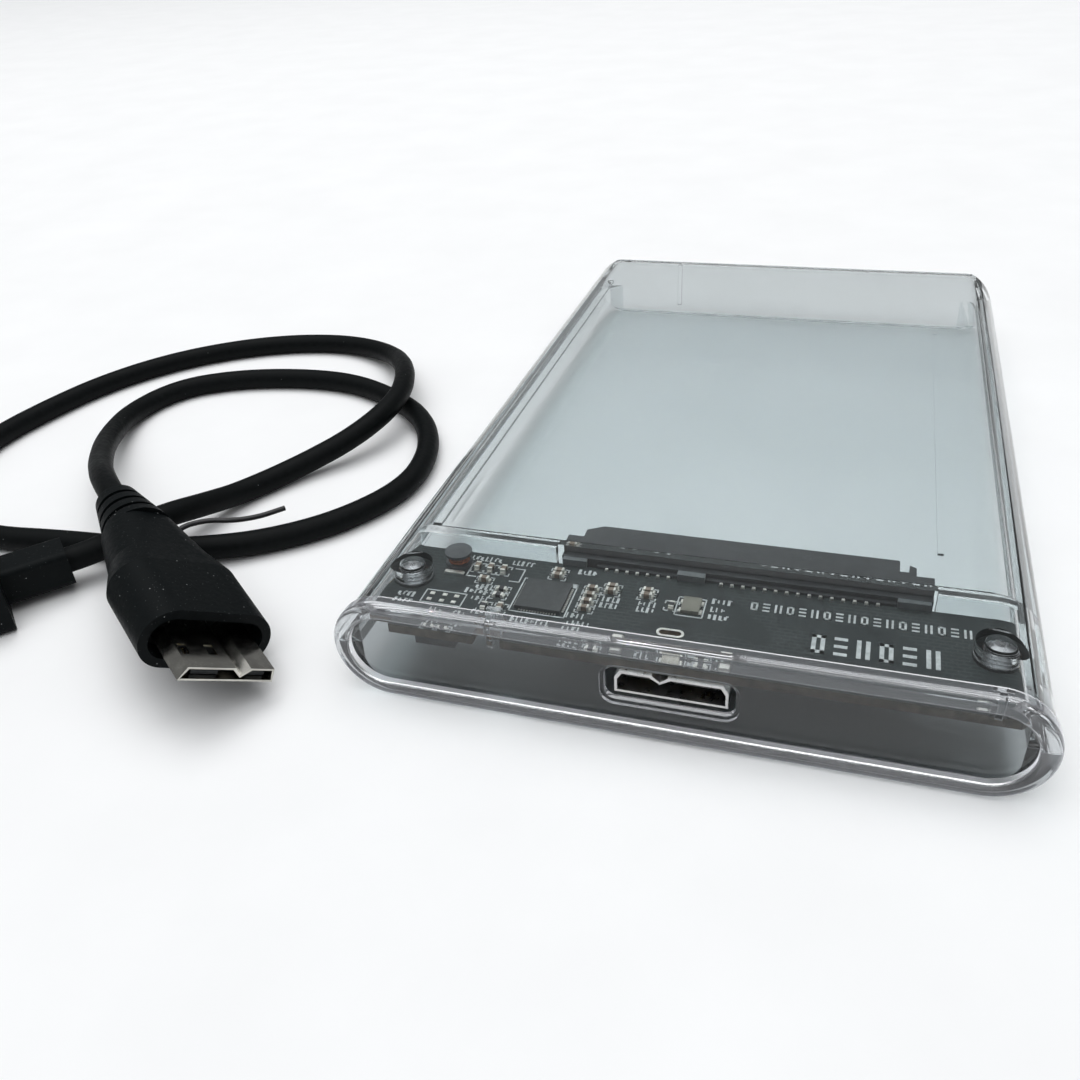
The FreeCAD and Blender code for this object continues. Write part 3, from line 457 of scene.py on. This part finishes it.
def tin_small_parts(tin, z):
    """Tinned caps and fillets on the capacitors and resistors."""
    length, rise, shrink = FILLET
    for node, overlap in (("ceramic_capacitors", 0.05), ("chip_resistors", 0.04)):
        for low, high in islands(node):
            size = high - low
            middle = (low + high) / 2
            top = high.z + overlap / 2
            for side in (-1, 1):
                if size.x > size.y:
                    x, y = middle.x + side * (size.x / 2 - CAP_LENGTH / 2 + CAP_PAST), middle.y
                    tin.bar(x, y, CAP_LENGTH, size.y + overlap, z, top, shrink=0.96)
                    tin.bar(x + side * FILLET_OUT, y, length, size.y + 0.1, z, z + rise, shrink=shrink)
                else:
                    x, y = middle.x, middle.y + side * (size.y / 2 - CAP_LENGTH / 2 + CAP_PAST)
                    tin.bar(x, y, size.x + overlap, CAP_LENGTH, z, top, shrink=0.96)
                    tin.bar(x, y + side * FILLET_OUT, size.x + 0.1, length, z, z + rise, shrink=shrink)


def tin_chip_leads(tin, z):
    """Short flat leads on the four sides of the bridge chip."""
    low, high = (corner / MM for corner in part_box("bridge_chip"))
    out = 0.08
    for index in range(CHIP_LEADS):
        step = LEAD_INSET + index * (high.x - low.x - 2 * LEAD_INSET) / (CHIP_LEADS - 1)
        for y in (low.y - out, high.y + out):
            tin.bar(low.x + step, y, 0.2, 0.34, z, z + 0.06)
        for x in (low.x - out, high.x + out):
            tin.bar(x, low.y + step, 0.34, 0.2, z, z + 0.06)


def tin_larger_parts(tin, z):
    """Solder at the crystal's four corners and the LED's two ends."""
    low, high = (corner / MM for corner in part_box("crystal_can"))
    for x in (low.x - 0.12, high.x + 0.12):
        for y in (low.y + 0.55, high.y - 0.55):
            tin.bar(x, y, 0.4, 0.8, z, z + 0.16, shrink=0.8)
    low, high = (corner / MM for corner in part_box("status_led"))
    for x in (low.x - 0.1, high.x + 0.1):
        tin.bar(x, (low.y + high.y) / 2, 0.5, 0.9, z, z + 0.3, shrink=0.75)


def solder_work():
    """Tinned ends and fillets on the small parts, chip leads, bare pads and plated holes."""
    tin = Prisms()
    z = BOARD_TOP
    tin_small_parts(tin, z)
    tin_chip_leads(tin, z)
    for x, y, wide, deep, rise, shrink in HEADER_PADS + INDUCTOR_PADS + SOCKET_FEET + LONE_PAD:
        tin.bar(x, y, wide, deep, z, z + rise, shrink=shrink)
    tin_larger_parts(tin, z)
    for low, high in islands("sata_signal_contacts") + islands("sata_power_contacts"):
        tin.bar((low.x + high.x) / 2, low.y + 0.02, 0.46, 0.36, z, z + 0.27, shrink=0.8)
    tin.oval(*SLOT_RING, z, z + 0.05, SLOT_STRETCH)
    tin.build("solder_work", TIN)


NOTCH_RADIUS = 1.36             # of the plating, just inside the board's notch
NOTCH_OUT = 0.9                 # from the board's edge out to the notch's centre
NOTCH_PLACES = ((BOARD_LOW.x - NOTCH_OUT, -53.7, 1), (BOARD_HIGH.x + NOTCH_OUT, -53.8, -1))
NOTCH_HALF_ANGLE = 44
NOTCH_STEPS = 8


def edge_plating():
    """Gold plating in the two half-round notches at the board's sides."""
    gold = Prisms()
    for x, y, side in NOTCH_PLACES:
        for step in range(NOTCH_STEPS):
            turn = math.radians(NOTCH_HALF_ANGLE * (2 * (step + 0.5) / NOTCH_STEPS - 1))
            px = x + side * NOTCH_RADIUS * math.cos(turn)
            py = y + NOTCH_RADIUS * math.sin(turn)
            gold.bar(px, py, 0.06, 0.3, BOARD_LOW.z - 0.02, BOARD_TOP + 0.03, side * turn)
    gold.build("edge_plating", GOLD)


def bracket(ink, x0, x1, y0, y1, corner, z):
    """Four printed corner brackets around a part."""
    for x, sx in ((x0, 1), (x1, -1)):
        for y, sy in ((y0, 1), (y1, -1)):
            ink.line((x, y), (x + sx * corner, y), INK_WIDE, z, z + INK_HIGH)
            ink.line((x, y), (x, y + sy * corner), INK_WIDE, z, z + INK_HIGH)


def frame_lines(ink, x0, x1, y0, y1, z):
    """Four printed lines around a part."""
    corners = [(x0, y0), (x1, y0), (x1, y1), (x0, y1)]
    for start, end in zip(corners, corners[1:] + corners[:1]):
        ink.line(start, end, INK_WIDE, z, z + INK_HIGH)


def tally(ink, x, y, count, high, pitch, wide, z, rng):
    """A row of plain strokes of uneven height and width, where a real board carries print."""
    for index in range(count):
        tall = high * rng.choice((0.55, 0.8, 1.0, 1.0))
        thick = wide * rng.choice((0.8, 1.0, 1.6))
        ink.bar(x + index * pitch, y, thick, tall, z, z + INK_HIGH)
        if rng.random() < 0.7:
            ink.bar(x + index * pitch + pitch * 0.3, y + rng.choice((-1, 0, 1)) * high * 0.38, pitch * 0.5,
                    wide * 0.8, z, z + INK_HIGH)


def plain_blocks(ink, x0, x1, y, high, count, stroke, z):
    """Evenly spaced plain frames and bars over the length that the real print takes up."""
    pitch = (x1 - x0) / count
    wide = pitch * 0.6
    for index in range(count):
        x = x0 + pitch * (index + 0.5)
        for side in (-1, 1):
            if index % 3 != 1:
                ink.bar(x + side * (wide - stroke) / 2, y, stroke, high, z, z + INK_HIGH)
            if index % 3 != 2:
                ink.bar(x, y + side * (high - stroke) / 2, wide, stroke, z, z + INK_HIGH)
        if index % 3 == 1:
            ink.bar(x, y, wide, stroke, z, z + INK_HIGH)


# Rows of strokes beside the parts: x of the first stroke, y, number of strokes
MARKS = (
    (-27.4, -47.2, 7), (-22.0, -47.2, 5), (-24.8, -52.9, 6), (-25.8, -53.9, 5), (-23.6, -57.8, 6),
    (-24.6, -55.2, 4), (-18.6, -58.3, 8), (-13.4, -47.3, 4), (-12.2, -57.3, 5), (-9.3, -52.0, 4),
    (-9.3, -53.2, 4), (-5.0, -51.9, 4), (-5.0, -53.0, 4), (3.3, -49.6, 4), (3.3, -51.2, 3),
    (3.3, -52.6, 4), (-12.4, -58.6, 4), (-12.4, -59.7, 4), (-3.6, -59.3, 3), (-33.6, -56.2, 4),
    (-33.6, -57.6, 4), (-12.6, -55.9, 4),
)
SHORT_MARKS = ((-30.7, -60.1), (-28.6, -58.7), (-25.6, -58.7), (4.7, -59.9))   # three strokes each
MARK_SIZE = (1.0, 0.6, 0.2)                        # height, pitch and width of the strokes
SHORT_MARK_SIZE = (0.9, 0.6, 0.18)
# Rows of plain shapes: low x, high x, y, height, number of shapes, stroke
LARGE_ROW = (14.3, 28.5, -54.7, 3.1, 6, 0.48)
SMALL_ROW = (7.3, 31.6, -49.5, 1.5, 18, 0.24)
HEADER_FRAME = (-30.5, -25.4, -57.3, -54.8)        # low x, high x, low y, high y
INDUCTOR_BRACKET = (-26.9, -20.1, -51.05, -48.4)


def board_print():
    """Generic white print: part outlines, plain strokes for reference marks, and two rows of plain shapes."""
    ink = Prisms()
    rng = random.Random(7)
    z = BOARD_TOP
    low, high = (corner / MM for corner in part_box("bridge_chip"))
    frame_lines(ink, low.x - 0.55, high.x + 0.55, low.y - 0.5, high.y + 0.5, z)
    ink.bar(high.x + 0.2, high.y + 0.15, 0.8, 0.8, z, z + INK_HIGH)
    low, high = (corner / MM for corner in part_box("crystal_can"))
    frame_lines(ink, low.x - 0.65, high.x + 0.45, low.y - 0.45, high.y + 0.35, z)
    low, high = (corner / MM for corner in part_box("status_led"))
    for x in (low.x - 0.6, high.x + 0.6):
        ink.bar(x, (low.y + high.y) / 2, INK_WIDE, 1.4, z, z + INK_HIGH)
    ink.bar(high.x + 1.15, (low.y + high.y) / 2, 0.7, 1.1, z, z + INK_HIGH)
    bracket(ink, *INDUCTOR_BRACKET, 1.2, z)
    frame_lines(ink, *HEADER_FRAME, z)
    for low, high in islands("ceramic_capacitors") + islands("chip_resistors"):
        bracket(ink, low.x - 0.5, high.x + 0.5, low.y - 0.38, high.y + 0.38, 0.45, z)
    for x, y, count in MARKS:
        tally(ink, x, y, count, *MARK_SIZE, z, rng)
    for x, y in SHORT_MARKS:
        tally(ink, x, y, 3, *SHORT_MARK_SIZE, z, rng)
    plain_blocks(ink, *LARGE_ROW, z)
    plain_blocks(ink, *SMALL_ROW, z)
    ink.build("board_print", INK)


LIP_SPANS = ((-11.6, -1.6), (1.7, 23.4))           # low and high x of each lip
LIP_Y = -45.82
LIP_DEPTH = 0.56
PAD_PLACES = ((0.05, 3.3, -46.5), (25.3, 3.6, -46.3), (-14.4, 3.0, -46.3))   # x, width, low y
PAD_BACK_Y = -45.6


def housing_lips():
    """Thin lips of the drive connector's housing over its contact tails."""
    lips = Prisms()
    for x0, x1 in LIP_SPANS:
        lips.bar((x0 + x1) / 2, LIP_Y, x1 - x0, LIP_DEPTH, BOARD_TOP + 0.01, BOARD_TOP + 0.33)
    lips.build("housing_lips", NYLON)


def housing_pads():
    """Lighter moulded blocks on the drive connector: one between its two contact groups, one at each end."""
    blocks = Prisms()
    for x, wide, y in PAD_PLACES:
        blocks.bar(x, (y + PAD_BACK_Y) / 2, wide, PAD_BACK_Y - y, BOARD_TOP, BOARD_TOP + 0.9)
    blocks.build("housing_pads", GREY_NYLON)


# ------------------------------------------------------------------ cable
CABLE_D = 0.0037


def cable_route():
    """The cable's route, in millimetres: the same points as the CAD tube."""
    nose = Vector((-49.6, -70.6, 6.2))
    neck = Vector((-81.7, -46.1, 11.0))
    rear = (neck - nose).normalized()
    end = Vector((-88.4, -51.7, 4.0))
    forward = Vector((-0.66, -0.75, 0.0)).normalized()
    low = CABLE_D / MM / 2
    bight = [(-95.6, -33.2, 8.6), (-106.6, -19.0, 4.4), (-113.4, -4.4, low), (-110.6, 7.4, low),
             (-101.6, 13.6, low), (-89.6, 16.6, low), (-77.4, 16.6, low), (-66.4, 11.8, low),
             (-56.8, 4.4, low), (-51.0, -6.8, low), (-49.9, -19.2, low), (-55.6, -30.4, low),
             (-64.0, -38.0, low), (-72.7, -43.1, 2.5), (-82.4, -44.4, low), (-95.0, -45.0, low)]
    unseen = [(-109.6, -46.8, low), (-122.4, -42.2, low), (-130.4, -31.4, low), (-132.8, -18.2, low)]
    back = [(-130.8, -5.0, low), (-127.4, 7.0, low), (-120.4, 18.6, low), (-110.4, 27.4, low),
            (-98.6, 33.0, low), (-85.8, 34.6, low), (-73.6, 28.9, 2.8), (-64.2, 15.0, 6.0),
            (-60.6, 3.0, 6.0), (-63.7, -8.2, 4.2), (-70.5, -16.8, 2.1), (-76.1, -26.4, low),
            (-77.5, -33.6, 3.9), (-79.3, -40.2, 5.75), (-82.0, -44.9, 5.7)]
    return [neck, neck + rear * 6.0] + [Vector(p) for p in bight + unseen + back] + [end - forward * 4.4, end]


def cable():
    """The cord between the two plugs, as one smooth spline."""
    curve = bpy.data.curves.new("cable", "CURVE")
    curve.dimensions = "3D"
    curve.resolution_u = 12
    curve.bevel_depth = CABLE_D / 2
    curve.bevel_resolution = 6
    curve.use_fill_caps = True
    spline = curve.splines.new("NURBS")
    points = cable_route()
    spline.points.add(len(points) - 1)
    for point, place in zip(spline.points, points):
        point.co = (*(place * MM), 1.0)
    spline.order_u = 3
    spline.use_endpoint_u = True
    curve.materials.append(JACKET)
    piece = bpy.data.objects.new("cable", curve)
    bpy.context.scene.collection.objects.link(piece)
    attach(piece, "cable")
    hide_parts("cable_jacket")


# ------------------------------------------------------------------ stage, light, camera
FLOOR_HALF = 3.0
FLOOR_DROP = 0.00005            # keeps the floor just below the part's flat underside
DOME_AXIS = (0.03, -0.12, 0.99)
DOME_STOPS = ((0.58, 0.11), (0.92, 1.0))   # cosine of the angle from the axis, grey
DOME_STRENGTH = 1.85
KEY_PLACE = (-0.25, 0.35, 1.1)
KEY_SIZE = 0.7
KEY_POWER = 3.0
CAMERA_PLACE = Vector((16.0, -144.87, 81.80)) * MM
CAMERA_RIGHT = (0.9533, 0.2963, -0.0565)
CAMERA_UP = (-0.1170, 0.5362, 0.8358)
CAMERA_BACK = (0.2780, -0.7903, 0.5459)
LENS_MM = 33.82
SENSOR_MM = 36.0
BOUNCES = 24


def stage_floor():
    """Plain pale paper that catches the shadows."""
    shader = Shader("stage_paper", Roughness=0.9)
    shader.colour(shader.ramp(shader.noise(40.0), (0.3, (0.90, 0.90, 0.90)), (0.7, (0.93, 0.93, 0.93))))
    mesh = bpy.data.meshes.new("stage_floor")
    corners = [(x * FLOOR_HALF, y * FLOOR_HALF, 0) for x, y in ((-1, -1), (1, -1), (1, 1), (-1, 1))]
    mesh.from_pydata(corners, [], [[0, 1, 2, 3]])
    mesh.materials.append(shader.material)
    floor = bpy.data.objects.new("stage_floor", mesh)
    bpy.context.scene.collection.objects.link(floor)
    floor.location.z = -FLOOR_DROP


def lamp(name, place, target, size, power):
    """Square soft lamp aimed at a point."""
    light = bpy.data.lights.new(name, "AREA")
    light.shape = "SQUARE"
    light.size = size
    light.energy = power
    light.cycles.use_multiple_importance_sampling = False
    holder = bpy.data.objects.new(name, light)
    bpy.context.scene.collection.objects.link(holder)
    holder.location = place
    holder.rotation_euler = (Vector(target) - Vector(place)).to_track_quat("-Z", "Y").to_euler()


def lighting():
    """A white dome above and in front of the object, grey behind it, and one wide soft lamp overhead."""
    world = bpy.data.worlds.new("soft_white")
    world.use_nodes = True
    tree = world.node_tree
    place = tree.nodes.new("ShaderNodeTexCoord")
    towards = tree.nodes.new("ShaderNodeVectorMath")
    towards.operation = "DOT_PRODUCT"
    towards.inputs[1].default_value = Vector(DOME_AXIS).normalized()
    ramp = tree.nodes.new("ShaderNodeValToRGB")
    for stop, (position, grey) in zip(ramp.color_ramp.elements, DOME_STOPS):
        stop.position = position
        stop.color = (grey * 0.97, grey * 0.985, grey, 1.0)
    tree.links.new(place.outputs["Generated"], towards.inputs[0])
    tree.links.new(towards.outputs["Value"], ramp.inputs["Fac"])
    tree.links.new(ramp.outputs["Color"], tree.nodes["Background"].inputs["Color"])
    tree.nodes["Background"].inputs["Strength"].default_value = DOME_STRENGTH
    world.cycles.sampling_method = "NONE"
    bpy.context.scene.world = world
    lamp("key", KEY_PLACE, (0.0, 0.0, 0.0), KEY_SIZE, KEY_POWER)


def camera():
    """Low three-quarter view over the front wall, with the plug at the left."""
    data = bpy.data.cameras.new("camera")
    data.sensor_width = SENSOR_MM
    data.lens = LENS_MM
    data.clip_start = 0.005
    holder = bpy.data.objects.new("camera", data)
    bpy.context.scene.collection.objects.link(holder)
    turn = Matrix((CAMERA_RIGHT, CAMERA_UP, CAMERA_BACK)).transposed().to_4x4()
    holder.matrix_world = Matrix.Translation(CAMERA_PLACE) @ turn
    bpy.context.scene.camera = holder


def colours_and_bounces():
    """Plain colours, and enough bounces for light to cross every wall of the clear case."""
    scene = bpy.context.scene
    scene.view_settings.view_transform = "Standard"
    cycles = scene.cycles
    cycles.max_bounces = BOUNCES
    cycles.transmission_bounces = BOUNCES
    cycles.glossy_bounces = BOUNCES
    cycles.transparent_max_bounces = BOUNCES
    cycles.caustics_reflective = False
    cycles.caustics_refractive = True


camera()
cable()
solder_work()
edge_plating()
board_print()
housing_pads()
housing_lips()
stage_floor()
lighting()
colours_and_bounces()
